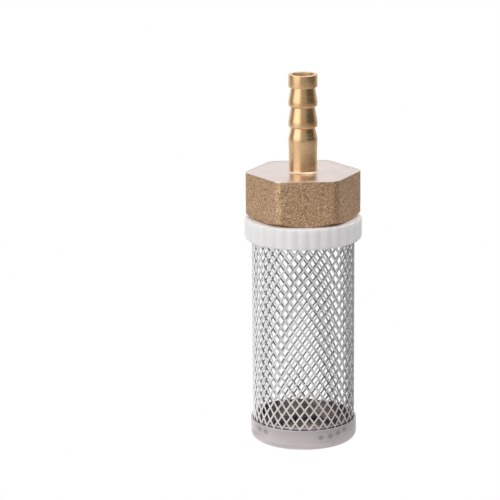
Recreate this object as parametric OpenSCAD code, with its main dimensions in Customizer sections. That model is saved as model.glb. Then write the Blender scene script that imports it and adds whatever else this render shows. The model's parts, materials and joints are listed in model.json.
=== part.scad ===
// Foot valve for a small suction hose: a brass hose-barb body screwed on a strainer basket,
// with a spring-loaded poppet valve in the collar between them.
// Origin on the floor under the centre line, +Z up through the barb. Millimetres.

/* [Overall] */
// Height from the cap's underside to the barb's tip
total_h = 84; // [80:0.5:100]
// Gap between the collar and the hexagon above it
collar_gap = 0.1; // [0.1:0.05:0.4]

/* [Brass body] */
// Length of the hose barb above the hexagon
barb_len = 22; // [20:0.5:30]
// Diameter over the barb's ridges
barb_d = 6.5; // [6.3:0.1:7.5]
// Diameter at the foot of each ridge
barb_neck_d = 5.4; // [5.2:0.1:5.8]
// Water passage through the barb
bore_d = 4.2; // [3:0.1:4.3]
// Hexagon across its flats
hex_af = 23; // [23:0.1:27]
// Height of the hexagon
hex_h = 10.3; // [10.3:0.1:12]
// Angle at which the hexagon comes to rest when it is tight
hex_turn = 4.6; // [0:0.1:60]

/* [Pipe thread] */
// Outside diameter of the thread, G1/2
thread_major_d = 20.955; // [20.955:0.001:20.955]
// Distance from one thread turn to the next
thread_pitch = 1.814; // [1.814:0.001:1.814]

/* [Collar] */
// Diameter over the grip ribs
collar_d = 26.4; // [26:0.1:28]
// Height of the ribbed flange
collar_h = 4.8; // [4.6:0.1:6]
// Number of grip ribs
rib_count = 32; // [24:1:40]
// Depth of the flutes between the ribs
flute_depth = 0.3; // [0.2:0.05:0.4]

/* [Strainer basket] */
// Outside diameter of the mesh tube
mesh_d = 23.2; // [23:0.1:23.4]
// Thickness of the mesh
mesh_t = 0.4; // [0.3:0.05:0.5]
// Diamonds in one row around the tube
mesh_columns = 17; // [15:1:19]
// Height of one diamond, strand to strand
mesh_rise = 5.94; // [5:0.1:7]
// Width of a strand
strand_w = 0.8; // [0.7:0.05:1]
// Outside diameter of the bottom cap
cap_d = 24; // [24:0.1:24.5]
// Height of the bottom cap
cap_h = 4.8; // [4:0.1:6]
// Height of the clamp ring's top edge
ring_top = 5.9; // [5:0.1:7]

/* [Check valve] */
// Hole through the valve seat
seat_d = 8; // [6:0.1:8]
// Wire of the check spring
spring_wire_d = 0.35; // [0.3:0.05:0.4]

/* [Hidden] */

$fn = 96;
cut = 1;                                    // how far a cutting shape runs past what it cuts
slip = 0.05;                                // clearance of a piece in its seat

// Heights of the main joints
hex_top_z = total_h - barb_len;
hex_z = hex_top_z - hex_h;
collar_top_z = hex_z - collar_gap;
collar_z = collar_top_z - collar_h;
mesh_top_z = collar_top_z - 2;              // the tube's end in the collar's slot
mesh_z = 1.5;                               // the tube's end in the cap

// Brass body
barb_r = barb_d / 2;
neck_r = barb_neck_d / 2;
shank_r = barb_r - 0.1;
fillet_r = 0.8;
bore_r = bore_d / 2;
roof_t = 2;                                 // brass over the thread
roof_z = hex_top_z - roof_t;
hex_corner_r = hex_af / 2 / cos(30) - 0.4;  // the corners are turned down
hex_chamfer_r = hex_af / 2 - 0.2;
hex_chamfer_h = (hex_corner_r - hex_chamfer_r) * tan(30);

// Thread: a ridge of trapezoid section on each side, with room between them
thread_depth = 0.6403 * thread_pitch;
male_root_r = thread_major_d / 2 - thread_depth - 0.22;
male_crest_r = thread_major_d / 2 - 0.12;
male_root_w = 1.6;
male_crest_w = 0.36;
female_root_r = thread_major_d / 2 + 0.12;
female_crest_r = thread_major_d / 2 - thread_depth + 0.08;
female_root_w = 1.54;
female_crest_w = 0.3;
thread_z = hex_z + 1.4;                     // first turn of the body's thread
thread_sides = 36;                          // rings of the ridge in one turn
ridge_sink = 0.15;                          // how deep a ridge is rooted in its wall

// Gasket and spigot
gasket_t = 1.5;
gasket_outer_r = 9.2;
gasket_inner_r = 7.9;
spigot_top_z = roof_z - gasket_t;
spigot_bore_r = 7.8;
shoulder_r = 7.3;                           // bore below the retainer
collar_r = collar_d / 2;

// Mesh tube, its slot and the cap
mesh_r = mesh_d / 2;
slot_r = [mesh_r - mesh_t - slip, mesh_r + slip];
cap_r = cap_d / 2;
cap_t = cap_r - mesh_r;
cap_corner_r = 1.5;
ring_t = 0.3;

// Valve seat, poppet, spring and retainer
web_z = collar_z + 0.2;                     // underside of the collar's web
ledge_z = web_z + 0.6;                      // ledge that carries the seat
pocket_top_z = ledge_z + 2;
pocket_r = 5.6;
flange_t = 0.6;
lip_h = 0.3;
seal_z = pocket_top_z + flange_t + lip_h;
seal_t = 0.7;
disc_z = seal_z + seal_t;
disc_t = 0.9;
disc_r = 6;
disc_top_z = disc_z + disc_t;
stem_r = 1.2;
boss_r = 3.3;
retainer_z = spigot_top_z - 1.9;
spoke_t = 1;
hub_r = 2.1;
hub_drop = 1;
stem_top_z = retainer_z + spoke_t + 0.2;
coil_r = 3.2;                               // centre line of the spring's wire
coil_turns = 4;

// Closed ridge of trapezoid section along a right-hand helix, fading out at both ends.
// root_r and crest_r are its radii, root_w and crest_w its widths along the axis.
module thread_ridge(root_r, crest_r, root_w, crest_w, z0, turns) {
    rings = round(turns * thread_sides);
    fade = thread_sides / 4;
    outward = sign(crest_r - root_r);
    function share(k) = min(1, (k + 0.2) / fade, (rings - k + 0.2) / fade);
    function at(k, r, dz) = let (a = 360 * k / thread_sides)
        [r * cos(a), r * sin(a), z0 + thread_pitch * k / thread_sides + dz];
    function ring(k) = let (
            s = share(k),
            tip_r = root_r + s * (crest_r - root_r),
            root_h = crest_w / 2 + s * (root_w - crest_w) / 2,
            base_r = root_r - outward * ridge_sink)
        [at(k, base_r, -root_h), at(k, tip_r, -crest_w / 2),
         at(k, tip_r, crest_w / 2), at(k, base_r, root_h)];
    points = [for (k = [0 : rings]) each ring(k)];
    sides = [for (k = [0 : rings - 1], c = [0 : 3]) let (d = (c + 1) % 4)
        each [[4 * k + c, 4 * k + d, 4 * k + 4 + d], [4 * k + c, 4 * k + 4 + d, 4 * k + 4 + c]]];
    last = 4 * rings;
    ends = [[0, 3, 2], [0, 2, 1], [last, last + 1, last + 2], [last, last + 2, last + 3]];
    faces = outward > 0 ? concat(sides, ends) : [for (f = concat(sides, ends)) [f[2], f[1], f[0]]];
    polyhedron(points, faces);
}

// Half section of the barb: ridges that grip the hose, each cut off square above the next.
// The shank below them is a little slimmer and meets the hexagon in a fillet.
function barb_outline() = [
    [0, hex_top_z - cut],
    [shank_r + fillet_r, hex_top_z - cut],
    for (a = [0 : 15 : 90])
        [shank_r + fillet_r * (1 - sin(a)), hex_top_z + fillet_r * (1 - cos(a))],
    [shank_r, hex_top_z + 4.5],
    [barb_r, hex_top_z + 7],
    [barb_r, hex_top_z + 7.65],
    [neck_r, hex_top_z + 10],
    [barb_r, hex_top_z + 10.3],
    [barb_r, hex_top_z + 11.4],
    [neck_r, hex_top_z + 14.6],
    [barb_r, hex_top_z + 15],
    [barb_r, hex_top_z + 16],
    [neck_r, hex_top_z + 19.1],
    [barb_r, total_h - 2.8],
    [barb_r, total_h - 0.15],
    [barb_r - 0.15, total_h],
    [0, total_h]
];

module hexagon_block() {
    intersection() {
        translate([0, 0, hex_z])
            cylinder(r = hex_af / 2 / cos(30), h = hex_h, $fn = 6);
        rotate_extrude()
            polygon([
                [0, hex_z], [hex_chamfer_r, hex_z],
                [hex_corner_r, hex_z + hex_chamfer_h],
                [hex_corner_r, hex_top_z - 0.2], [hex_corner_r - 0.3, hex_top_z],
                [0, hex_top_z]
            ]);
    }
}

module valve_body() {
    color("goldenrod") {
        difference() {
            rotate([0, 0, hex_turn]) hexagon_block();
            rotate_extrude()
                polygon([
                    [0, hex_z - cut], [female_root_r + 0.4, hex_z - cut],
                    [female_root_r + 0.4, hex_z], [female_root_r, hex_z + 0.4],
                    [female_root_r, roof_z], [bore_r + 1.5, roof_z],
                    [bore_r, roof_z + 1.5], [bore_r, total_h + cut], [0, total_h + cut]
                ]);
        }
        difference() {
            rotate_extrude() polygon(barb_outline());
            translate([0, 0, roof_z]) cylinder(r = bore_r, h = total_h);
            translate([0, 0, roof_z]) cylinder(r1 = bore_r + 1.5, r2 = bore_r, h = 1.5);
            translate([0, 0, total_h - 0.5]) cylinder(r1 = bore_r, r2 = bore_r + 1, h = 1);
        }
        thread_ridge(female_root_r, female_crest_r, female_root_w, female_crest_w, thread_z, 2.9);
    }
}

module body_gasket() {
    color("dimgray")
    translate([0, 0, spigot_top_z])
        difference() {
            cylinder(r = gasket_outer_r, h = gasket_t);
            translate([0, 0, -cut]) cylinder(r = gasket_inner_r, h = gasket_t + 2 * cut);
        }
}

// Half section of the collar without its flutes
function collar_outline() = [
    [pocket_r - 1, web_z], [slot_r[0] - 0.4, web_z], [slot_r[0] - 0.2, collar_z],
    [slot_r[0], collar_z], [slot_r[0], mesh_top_z], [slot_r[1], mesh_top_z],
    [slot_r[1], collar_z], [collar_r - 0.5, collar_z], [collar_r, collar_z + 0.5],
    [collar_r, collar_top_z - 0.5], [collar_r - 0.15, collar_top_z - 0.15],
    [collar_r - 0.5, collar_top_z], [male_root_r, collar_top_z],
    [male_root_r, spigot_top_z - 0.3], [male_root_r - 0.3, spigot_top_z],
    [spigot_bore_r, spigot_top_z], [spigot_bore_r, retainer_z], [shoulder_r, retainer_z],
    [shoulder_r, pocket_top_z], [pocket_r, pocket_top_z],
    [pocket_r, ledge_z], [pocket_r - 1, ledge_z]
];

module strainer_collar() {
    flute_r = 0.85;
    color("ivory") {
        difference() {
            rotate_extrude() polygon(collar_outline());
            for (i = [0 : rib_count - 1])
                rotate([0, 0, 360 / rib_count * i])
                    translate([collar_r + flute_r - flute_depth, 0, collar_z - cut])
                        cylinder(r = flute_r, h = collar_h + 2 * cut, $fn = 24);
        }
        thread_ridge(male_root_r, male_crest_r, male_root_w, male_crest_w, thread_z - thread_pitch / 2, 3.25);
    }
}

// One upright strip of the mesh tube: a column of whole diamonds with half diamonds at its edges
module mesh_strip(strip_angle, rows, half_h, margin) {
    column_w = PI * mesh_d / mesh_columns;
    half_w = column_w / 2 - strand_w * 0.62;
    edge = strip_angle / 2 - 0.05;
    far = 2 * mesh_r;
    difference() {
        intersection() {
            difference() {
                translate([0, 0, mesh_z]) cylinder(r = mesh_r, h = mesh_top_z - mesh_z);
                translate([0, 0, mesh_z - cut])
                    cylinder(r = mesh_r - mesh_t, h = mesh_top_z - mesh_z + 2 * cut);
            }
            linear_extrude(mesh_top_z + cut)
                polygon([[0, 0], [far * cos(edge), -far * sin(edge)], [far * cos(edge), far * sin(edge)]]);
        }
        for (row = [0 : rows - 1], side = row % 2 == 0 ? [0] : [-1, 1])
            rotate([0, 0, side * strip_angle / 2])
                translate([mesh_r, 0, mesh_z + half_h + margin + row * mesh_rise / 2])
                    rotate([0, 90, 0])
                        linear_extrude(4 * mesh_t, center = true)
                            polygon([[-half_h, 0], [0, -half_w], [half_h, 0], [0, half_w]]);
    }
}

module strainer_mesh() {
    strip_angle = 360 / mesh_columns;
    half_h = mesh_rise / 2 - strand_w * 0.85;
    margin = 0.6;
    rows = 1 + floor((mesh_top_z - mesh_z - 2 * (half_h + margin)) / (mesh_rise / 2));
    color("lightsteelblue")
    for (i = [0 : mesh_columns - 1])
        rotate([0, 0, strip_angle * i]) mesh_strip(strip_angle, rows, half_h, margin);
}

module bottom_cap() {
    inner_r = cap_corner_r - cap_t;
    centre_r = cap_r - cap_corner_r;
    color("silver")
    rotate_extrude()
        polygon(concat(
            [[0, 0]],
            [for (a = [-90 : 15 : 0]) [centre_r + cap_corner_r * cos(a), cap_corner_r * (1 + sin(a))]],
            [[cap_r, cap_h], [cap_r - cap_t, cap_h]],
            [for (a = [0 : -15 : -90]) [centre_r + inner_r * cos(a), cap_corner_r + inner_r * sin(a)]],
            [[0, cap_t]]
        ));
}

module clamp_ring() {
    ring_r = mesh_r - mesh_t;
    ring_z = cap_corner_r - 0.4;
    color("gray")
    translate([0, 0, ring_z])
        difference() {
            cylinder(r = ring_r, h = ring_top - ring_z);
            translate([0, 0, -cut]) cylinder(r = ring_r - ring_t, h = ring_top - ring_z + 2 * cut);
        }
}

module valve_seat() {
    seat_r = seat_d / 2;
    body_r = pocket_r - slip;
    groove_r = 5;
    groove_z = ledge_z + 0.55;
    color("darkgoldenrod")
    rotate_extrude()
        polygon([
            [seat_r, ledge_z], [body_r, ledge_z], [body_r, groove_z], [groove_r, groove_z],
            [groove_r, groove_z + 0.9], [body_r, groove_z + 0.9], [body_r, pocket_top_z],
            [pocket_r + 1, pocket_top_z], [pocket_r + 1, pocket_top_z + flange_t],
            [seat_r + 0.7, pocket_top_z + flange_t], [seat_r + 0.5, seal_z],
            [seat_r + 0.2, seal_z], [seat_r, seal_z - 0.2]
        ]);
}

module seat_oring() {
    color("black")
    translate([0, 0, ledge_z + 1])
        rotate_extrude() translate([5.3, 0]) circle(r = 0.29, $fn = 32);
}

module poppet() {
    color("white")
    rotate_extrude()
        polygon([
            [0, seal_z - 0.4], [boss_r - 0.5, seal_z - 0.4], [boss_r, seal_z],
            [boss_r, disc_z], [disc_r, disc_z], [disc_r, disc_top_z - 0.3],
            [disc_r - 0.3, disc_top_z], [stem_r + 0.3, disc_top_z], [stem_r, disc_top_z + 0.3],
            [stem_r, stem_top_z - 0.3], [stem_r - 0.3, stem_top_z], [0, stem_top_z]
        ]);
}

module poppet_seal() {
    color("darkslategray")
    translate([0, 0, seal_z])
        difference() {
            cylinder(r = disc_r - 0.4, h = seal_t);
            translate([0, 0, -cut]) cylinder(r = boss_r, h = seal_t + 2 * cut);
        }
}

// Round wire along a helix whose last half turn at each end lies flat
module check_spring() {
    wire_r = spring_wire_d / 2;
    low_z = disc_top_z + wire_r;
    rise = retainer_z - disc_top_z - spring_wire_d;
    steps = 20 * coil_turns;
    sides = 8;
    function height(t) = low_z + rise * min(1, max(0, (t - 0.12) / 0.76));
    function ring(k) = let (t = k / steps, a = 360 * coil_turns * t)
        [for (j = [0 : sides - 1]) let (b = 360 * j / sides, r = coil_r + wire_r * cos(b))
            [r * cos(a), r * sin(a), height(t) + wire_r * sin(b)]];
    points = [for (k = [0 : steps]) each ring(k)];
    skin = [for (k = [0 : steps - 1], j = [0 : sides - 1]) let (n = (j + 1) % sides, o = sides * k)
        each [[o + j, o + sides + n, o + n], [o + j, o + sides + j, o + sides + n]]];
    start = [for (j = [0 : sides - 1]) j];
    finish = [for (j = [sides - 1 : -1 : 0]) sides * steps + j];
    color("slategray") polyhedron(points, concat(skin, [start, finish]));
}

module spring_retainer() {
    rim_r = spigot_bore_r - 0.02;
    color("burlywood")
    difference() {
        union() {
            translate([0, 0, retainer_z])
                difference() {
                    cylinder(r = rim_r, h = spigot_top_z - 0.3 - retainer_z);
                    translate([0, 0, -cut]) cylinder(r = rim_r - 1, h = 10);
                }
            for (i = [0 : 2])
                rotate([0, 0, 120 * i])
                    translate([0, -0.6, retainer_z]) cube([rim_r - 0.5, 1.2, spoke_t]);
            translate([0, 0, retainer_z - hub_drop]) cylinder(r = hub_r, h = hub_drop + spoke_t);
            translate([0, 0, retainer_z])
                difference() {
                    cylinder(r = coil_r + 0.5, h = spoke_t);
                    translate([0, 0, -cut]) cylinder(r = 1, h = 10);
                }
        }
        translate([0, 0, retainer_z - 5]) cylinder(r = stem_r + 0.06, h = 10);
    }
}

valve_body();
body_gasket();
strainer_collar();
strainer_mesh();
bottom_cap();
clamp_ring();
valve_seat();
seat_oring();
poppet();
poppet_seal();
check_spring();
spring_retainer();
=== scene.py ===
"""Foot valve: brass hose-barb body, ribbed plastic collar, diamond-mesh strainer, poppet valve inside."""

import json
import math

import bmesh
import bpy
import numpy as np
from mathutils import Matrix, Quaternion, Vector, noise


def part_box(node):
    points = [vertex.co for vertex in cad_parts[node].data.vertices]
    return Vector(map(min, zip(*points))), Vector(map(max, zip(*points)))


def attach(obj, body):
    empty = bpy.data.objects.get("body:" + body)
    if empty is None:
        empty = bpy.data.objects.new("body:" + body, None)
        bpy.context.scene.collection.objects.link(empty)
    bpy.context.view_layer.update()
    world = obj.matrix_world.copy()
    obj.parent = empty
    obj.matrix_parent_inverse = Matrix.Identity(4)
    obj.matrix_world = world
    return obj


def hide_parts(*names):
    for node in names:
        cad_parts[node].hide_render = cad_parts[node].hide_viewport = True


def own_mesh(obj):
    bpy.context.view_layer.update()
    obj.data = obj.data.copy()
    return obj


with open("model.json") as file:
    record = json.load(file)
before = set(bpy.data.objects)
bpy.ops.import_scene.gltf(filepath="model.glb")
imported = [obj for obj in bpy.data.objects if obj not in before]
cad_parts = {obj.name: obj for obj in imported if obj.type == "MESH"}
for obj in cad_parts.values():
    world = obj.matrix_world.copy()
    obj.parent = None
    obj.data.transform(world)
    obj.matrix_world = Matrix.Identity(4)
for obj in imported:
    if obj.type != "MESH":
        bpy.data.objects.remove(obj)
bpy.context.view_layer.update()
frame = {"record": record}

MM = 0.001


# ---------------------------------------------------------------- sizes, in millimetres


def box_mm(node):
    """Lowest and highest corner of a CAD node, in millimetres."""
    low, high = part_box(node)
    return Vector(low) / MM, Vector(high) / MM


body_low, body_high = box_mm("valve_body")
collar_low, collar_high = box_mm("strainer_collar")
mesh_low, mesh_high = box_mm("strainer_mesh")
cap_low, cap_high = box_mm("bottom_cap")
ring_low, ring_high = box_mm("clamp_ring")
gasket_low, gasket_high = box_mm("body_gasket")
spring_low, spring_high = box_mm("check_spring")
retainer_low, retainer_high = box_mm("spring_retainer")
seal_low, seal_high = box_mm("poppet_seal")
mounts = {mount["name"]: mount for mount in frame["record"]["mounts"]}

# A closed outline starts and ends this far apart, in the middle of a side
SEAM = 0.01

# Brass body
BARB_R = mounts["hose_barb"]["dims"]["r_mm"]
BORE_R = mounts["outlet_bore"]["dims"]["r_mm"]
BARB_LEN = 22.0
NECK_R = 2.7
SHANK_R = BARB_R - 0.1
FILLET_R = 0.6
MOUTH_FLARE = 0.35
MOUTH_DEPTH = 0.9
# Heights over the hexagon's top. Each taper has its neck, its widest place and its foot, and then how
# rounded its widest place and its foot are.
LIP_FOOT = 19.2
TAPERS = [(19.1, 16.0, 15.0, 0.25, 0.12), (14.65, 11.4, 10.3, 0.25, 0.12), (10.0, 7.65, 7.0, 0.5, 0.3)]
SHANK_TOP = 4.5
HEX_TOP = body_high.z - BARB_LEN
HEX_Z = body_low.z
HEX_AF = 23.0
HEX_TURN = math.radians(4.6)
HEX_CORNER_R = HEX_AF / 2 / math.cos(math.pi / 6) - 0.4
HEX_EDGE_SOFT = 0.08
HEX_CHAMFER_R = HEX_AF / 2 - 0.2
# The broken edge round the hexagon's top: how far in and how far down each of its lines is
BROKEN_EDGE = [(0.10, 0.0), (0.03, 0.03)]
SIDE_TOP = HEX_TOP - 0.13
CAST_WANDER = 0.035
ROOF_Z = HEX_TOP - 2.0

# Pipe thread: radii of a ridge's root and crest, its widths there, where it starts and its turns
PITCH = 1.814
THREAD_R = 20.955 / 2
THREAD_DEPTH = 0.6403 * PITCH
BODY_THREAD = {"root": THREAD_R + 0.12, "crest": THREAD_R - THREAD_DEPTH + 0.08, "root_w": 1.54,
               "crest_w": 0.3, "z0": HEX_Z + 1.4, "turns": 2.9}
SPIGOT_THREAD = {"root": THREAD_R - THREAD_DEPTH - 0.22, "crest": THREAD_R - 0.12, "root_w": 1.6,
                 "crest_w": 0.36, "z0": HEX_Z + 1.4 - PITCH / 2, "turns": 3.25}

# Gasket
GASKET_W = 1.3

# Collar: its flutes fade out this far in from the flange's side, and the radii are those of its inside
FLANGE_TOP = HEX_Z - 0.03
RIB_COUNT = 32
FLUTE_DEPTH = 0.24
FLUTE_REACH = 1.3
THROAT_R = 4.6
SEAT_POCKET_R = 5.6
CHAMBER_R = 7.3
SPIGOT_BORE_R = 7.8

# Strainer basket: the mesh has this many diamonds round it, is turned by a share of one, and each row of
# them rises by MESH_RISE
MESH_R = mesh_high.x
MESH_T = 0.4
MESH_COLUMNS = 34
MESH_TURN = 0.12
MESH_RISE = 2.97
STRAND_W = 0.37
KNUCKLE_TIP = 0.10
SHEET_T = 0.26
STRAND_EDGE = 0.06
SLOT_PLAY = 0.05
CAP_R = cap_high.x
CAP_T = CAP_R - MESH_R
CAP_CORNER_R = 1.5
DISH = 0.15
DISH_R = 8.6
FOOT_R = 9.3
RING_T = 0.3
RING_RISE = 0.6
RING_BEND_Z = 3.4
# Weld spots on the cap: degrees round from the front, to the right, and height
WELDS = [(19.3, 3.2), (30.8, 3.25), (40.5, 3.6), (50, 4.0), (-56, 3.6), (-46, 3.5),
         (104, 3.9), (117, 4.1), (163, 3.8), (-101, 4.0), (-148, 3.8), (-137, 4.2)]
WELD_DEPTH = 0.13

# Check valve
SEAT_BORE_R = 4.0
POPPET_BOSS_R = 3.3
STEM_R = 1.2
PLATE_Z = retainer_low.z + 1.0
SPRING_WIRE_R = 0.175
SPRING_TURNS = 4.0


# ---------------------------------------------------------------- node trees


class Tree:
    """Short calls that add nodes to a shader or geometry tree and wire them up."""

    def __init__(self, tree):
        self.tree = tree

    def feed(self, socket, value):
        if isinstance(value, bpy.types.NodeSocket):
            self.tree.links.new(value, socket)
        else:
            socket.default_value = value

    def node(self, kind, inputs=None, **settings):
        made = self.tree.nodes.new(kind)
        for key, value in settings.items():
            setattr(made, key, value)
        for key, value in (inputs or {}).items():
            self.feed(made.inputs[key], value)
        return made

    def math(self, operation, *values):
        made = self.node("ShaderNodeMath", operation=operation)
        for socket, value in zip(made.inputs, values):
            self.feed(socket, value)
        return made.outputs[0]

    def between(self, value, low, high, to_low=0.0, to_high=1.0):
        """value mapped from low..high to to_low..to_high, and held there outside."""
        made = self.node("ShaderNodeMapRange", {"Value": value, "From Min": low, "From Max": high,
                                                "To Min": to_low, "To Max": to_high})
        return made.outputs["Result"]

    def length(self, x, y):
        squares = self.math("ADD", self.math("MULTIPLY", x, x), self.math("MULTIPLY", y, y))
        return self.math("SQRT", squares)


class Finish(Tree):
    """A Principled material built up from patterns on Object coordinates."""

    def __init__(self, name, **constants):
        self.material = bpy.data.materials.new(name)
        self.material.use_nodes = True
        super().__init__(self.material.node_tree)
        self.shader = self.tree.nodes["Principled BSDF"]
        self.where = self.node("ShaderNodeTexCoord").outputs["Object"]
        for key, value in constants.items():
            self.shader.inputs[key.replace("_", " ")].default_value = value

    def stretched(self, scale):
        return self.node("ShaderNodeMapping", {"Vector": self.where, "Scale": scale}).outputs["Vector"]

    def speckle(self, per_mm, detail=3.0, roughness=0.55, scale=(1, 1, 1)):
        """Noise with about per_mm grains in a millimetre."""
        made = self.node("ShaderNodeTexNoise", {"Vector": self.stretched(scale), "Scale": per_mm / MM,
                                                "Detail": detail, "Roughness": roughness})
        return made.outputs["Fac"]

    def ramp(self, factor, *stops):
        """Colours by position: each stop is (position, (r, g, b))."""
        made = self.node("ShaderNodeValToRGB", {"Fac": factor})
        elements = made.color_ramp.elements
        while len(elements) < len(stops):
            elements.new(0.5)
        for element, (position, colour) in zip(elements, stops):
            element.position = position
            element.color = (*colour, 1.0)
        return made.outputs["Color"]

    def mix(self, factor, one, other):
        made = self.node("ShaderNodeMix", data_type="RGBA")
        self.feed(made.inputs["Factor"], factor)
        self.feed(made.inputs[6], one)
        self.feed(made.inputs[7], other)
        return made.outputs[2]

    def colour(self, value):
        self.feed(self.shader.inputs["Base Color"], value)

    def rough(self, value):
        self.feed(self.shader.inputs["Roughness"], value)

    def bump(self, height, depth_mm):
        """Adds relief of that depth; a second call stacks on the first."""
        made = self.node("ShaderNodeBump", {"Height": height, "Distance": depth_mm * MM, "Strength": 1.0})
        normal = self.shader.inputs["Normal"]
        if normal.is_linked:
            self.feed(made.inputs["Normal"], normal.links[0].from_socket)
        self.feed(normal, made.outputs["Normal"])

    def radius(self):
        """Distance from the centre line, in metres."""
        parts = self.node("ShaderNodeSeparateXYZ", {"Vector": self.where}).outputs
        return self.length(parts["X"], parts["Y"])

    def height(self):
        """Height over the underside of the cap, in metres."""
        return self.node("ShaderNodeSeparateXYZ", {"Vector": self.where}).outputs["Z"]


# ---------------------------------------------------------------- finishes


def turned_brass():
    """Bright brass with fine lathe lines around it."""
    skin = Finish("turned_brass", Metallic=1.0)
    lines = skin.speckle(0.25, detail=2.0, scale=(1, 1, 36))
    mottle = skin.speckle(0.35, detail=4.0)
    skin.colour(skin.mix(skin.between(mottle, 0.35, 0.7), (0.80, 0.535, 0.30, 1), (0.70, 0.44, 0.215, 1)))
    skin.rough(skin.between(lines, 0.3, 0.7, 0.16, 0.28))
    skin.bump(lines, 0.012)
    return skin.material


def drilled_brass():
    """Brass as the drill left it: rougher, with rings round the bore. Its darker, browner colour is painted
    shade inside the bore.
    """
    skin = Finish("drilled_brass", Metallic=1.0)
    rings = skin.speckle(0.25, detail=2.0, scale=(1, 1, 24))
    # Painted shade: dark brown brass inside the bore and the mouth.
    skin.colour(skin.mix(rings, (0.52, 0.37, 0.21, 1), (0.36, 0.25, 0.14, 1)))
    skin.rough(skin.between(rings, 0.3, 0.7, 0.42, 0.55))
    skin.bump(rings, 0.004)
    return skin.material


def cast_brass():
    """Sand-cast brass skin: a tight grain whose facets glint. Its colour runs from dark brown to pale gold
    with the grain, and the palest specks are painted glints.
    """
    skin = Finish("cast_brass", Metallic=1.0)
    grain = skin.speckle(3.0, detail=3.0, roughness=0.62)
    patch = skin.speckle(0.25, detail=3.0)
    # Painted glints: the ramp's top stops make pale gold specks; the lower stops are the grain's own tone.
    tone = skin.ramp(grain, (0.32, (0.20, 0.12, 0.062)), (0.48, (0.50, 0.32, 0.185)),
                     (0.60, (0.74, 0.50, 0.33)), (0.74, (1.0, 0.76, 0.58)))
    skin.colour(skin.mix(skin.between(patch, 0.3, 0.75, 0.0, 0.3), tone, (0.46, 0.29, 0.17, 1)))
    skin.rough(skin.between(grain, 0.35, 0.75, 0.52, 0.33))
    skin.bump(grain, 0.10)
    skin.bump(skin.speckle(0.8, detail=2.0), 0.08)
    return skin.material


def faced_brass():
    """The hexagon's top, faced on a lathe: satin, with rings round the centre. Its pale pinkish colour is a
    painted reflection of the bright surroundings.
    """
    skin = Finish("faced_brass", Metallic=1.0)
    rings_per_mm = 5
    ring_wave = skin.math("SINE", skin.math("MULTIPLY", skin.radius(), 2 * math.pi * rings_per_mm / MM))
    wander = skin.speckle(0.3, detail=3.0)
    lines = skin.math("MULTIPLY", ring_wave, skin.between(wander, 0.3, 0.7, 0.2, 1.0))
    # Painted reflection: pale pinkish brass stands in for the whitened reflection on the top.
    skin.colour(skin.mix(skin.between(wander, 0.3, 0.7), (0.74, 0.645, 0.62, 1), (0.70, 0.60, 0.56, 1)))
    skin.rough(skin.between(wander, 0.3, 0.7, 0.24, 0.32))
    skin.bump(lines, 0.002)
    skin.bump(skin.speckle(1.5, detail=2.0), 0.001)
    return skin.material


def moulded_plastic(name, tint):
    """White moulded plastic: satin skin with a faint cloudiness."""
    skin = Finish(name, Roughness=0.42, Subsurface_Weight=0.6, Subsurface_Scale=1.2 * MM)
    skin.shader.inputs["Subsurface Radius"].default_value = (1.0, 0.9, 0.8)
    cloud = skin.speckle(0.15, detail=3.0)
    darker = tuple(0.94 * channel for channel in tint)
    skin.colour(skin.mix(skin.between(cloud, 0.3, 0.7), (*tint, 1), (*darker, 1)))
    skin.rough(skin.between(skin.speckle(0.8), 0.3, 0.7, 0.38, 0.5))
    skin.bump(skin.speckle(3.0, detail=2.0), 0.008)
    return skin.material


def mesh_steel(name, bright, dark, smoothest):
    """Expanded stainless, cloudy between two greys. The rolled outside is smoother than the sheared flanks; a
    darker grey copy on the inner side and the flanks is painted shade."""
    skin = Finish(name, Metallic=1.0)
    grain = skin.speckle(2.0, detail=3.0)
    skin.colour(skin.mix(skin.between(grain, 0.3, 0.7), (*bright, 1), (*dark, 1)))
    skin.rough(skin.between(grain, 0.3, 0.7, smoothest, smoothest + 0.16))
    skin.bump(grain, 0.02)
    return skin.material


def cap_steel():
    """Drawn stainless outside: satin, faint bands around it and dark weld spots, with painted shade that
    darkens the wall towards its top.
    """
    skin = Finish("cap_steel", Metallic=1.0)
    bands = skin.speckle(0.12, detail=4.0, scale=(1, 1, 14))
    cloud = skin.speckle(0.12, detail=3.0)
    weld = skin.node("ShaderNodeAttribute", attribute_name="weld").outputs["Fac"]
    clean = skin.mix(skin.between(bands, 0.3, 0.7), (0.70, 0.63, 0.64, 1), (0.58, 0.52, 0.53, 1))
    clean = skin.mix(skin.between(cloud, 0.35, 0.7, 0.0, 0.4), clean, (0.78, 0.72, 0.73, 1))
    # Painted shade: the wall darkens with height, from 1.5 mm up to 4.2 mm.
    tint = skin.between(skin.height(), 1.5 * MM, 4.2 * MM, 0.0, 0.5)
    clean = skin.mix(tint, clean, (0.44, 0.395, 0.40, 1))
    spots = skin.math("MULTIPLY", weld, skin.between(skin.speckle(1.2), 0.3, 0.6, 0.4, 0.75))
    skin.colour(skin.mix(spots, clean, (0.20, 0.17, 0.16, 1)))
    skin.rough(skin.between(bands, 0.3, 0.7, 0.28, 0.40))
    skin.bump(bands, 0.01)
    skin.bump(skin.speckle(2.5), 0.006)
    return skin.material


def stained_steel():
    """Inside of the cap and its ring: a dark brown mottle, painted shade in the hollow with a painted brown
    reflection of the brass.
    """
    skin = Finish("stained_steel", Metallic=1.0)
    mottle = skin.speckle(0.22, detail=5.0, roughness=0.6)
    # Painted shade and painted reflection: dark brown to pale tan by the noise.
    tone = skin.ramp(mottle, (0.32, (0.20, 0.175, 0.16)), (0.48, (0.42, 0.36, 0.32)),
                     (0.62, (0.70, 0.60, 0.52)), (0.76, (0.86, 0.79, 0.72)))
    skin.colour(tone)
    skin.rough(skin.between(mottle, 0.3, 0.7, 0.34, 0.5))
    skin.bump(skin.speckle(1.5), 0.03)
    return skin.material


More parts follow.
